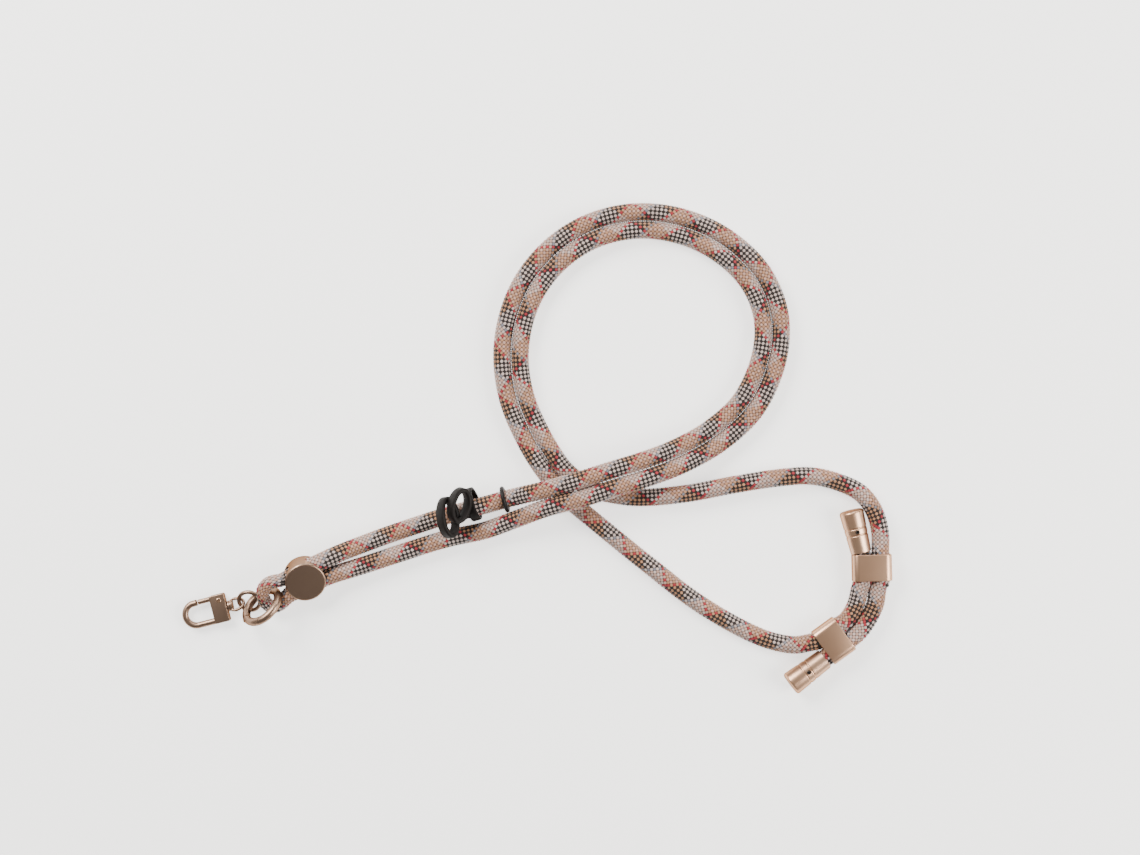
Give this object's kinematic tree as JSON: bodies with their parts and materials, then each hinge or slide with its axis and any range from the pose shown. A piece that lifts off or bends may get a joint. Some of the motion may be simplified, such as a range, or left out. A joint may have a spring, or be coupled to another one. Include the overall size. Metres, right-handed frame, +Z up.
{
  "type": "phone crossbody strap",
  "caption": "Braided crossbody phone cord doubled through metal sleeves and a round stopper, with end caps, soft keepers, a spring-gate ring and a swivel snap clasp.",
  "frame": {"origin": "centre of the metal and rubber pieces' box on the table, without the cord", "axes": "+X from the clasp to the adjusting sleeves, +Y away from the viewer towards the big loop, +Z up from the table"},
  "size_m": [0.3226, 0.2225, 0.0209],
  "materials": {
    "braided_cord": "round diamond braid of pale pink, tan, brown, black and red yarns",
    "rose_metal": "rose-champagne plated metal, brushed with bright highlights",
    "champagne_metal": "satin taupe-champagne plated metal",
    "dark_screw": "blackened steel",
    "black_silicone": "soft matte black silicone",
    "black_rubber": "black rubber"
  },
  "bodies": {
    "strap": {"rope": "braided_cord", "sleeve_upper": "rose_metal", "sleeve_lower": "rose_metal", "end_cap_upper": "rose_metal", "end_cap_lower": "rose_metal", "set_screw_upper": "dark_screw", "set_screw_lower": "dark_screw", "disc_stopper": "champagne_metal", "o_ring": "black_rubber", "silicone_keeper": "black_silicone", "ring_body": "champagne_metal", "jump_ring": "champagne_metal", "swivel_eye": "champagne_metal"},
    "clasp": {"clasp_hook": "champagne_metal"},
    "clasp_gate": {"clasp_gate": "champagne_metal"},
    "ring_gate": {"ring_gate": "champagne_metal"}
  },
  "joints": [
    {"name": "clasp_swivel", "type": "hinge", "parent": "strap", "child": "clasp", "pos_m": [-0.14074, -0.0078, 0.0024], "axis": [0.969, 0.247, 0], "continuous": true},
    {"name": "clasp_gate_hinge", "type": "hinge", "parent": "clasp", "child": "clasp_gate", "pos_m": [-0.14444, -0.00503, 0.0024], "axis": [0, 0, 1], "range_deg": [0, 25], "stiffness_Nm_per_rad": 0.02, "springref_deg": -11.46},
    {"name": "ring_gate_hinge", "type": "hinge", "parent": "strap", "child": "ring_gate", "pos_m": [-0.13136, -0.01156, 0.00717], "axis": [-0.5246, 0.6252, 0.5779], "range_deg": [0, 25], "stiffness_Nm_per_rad": 0.02, "springref_deg": -11.46}
  ]
}
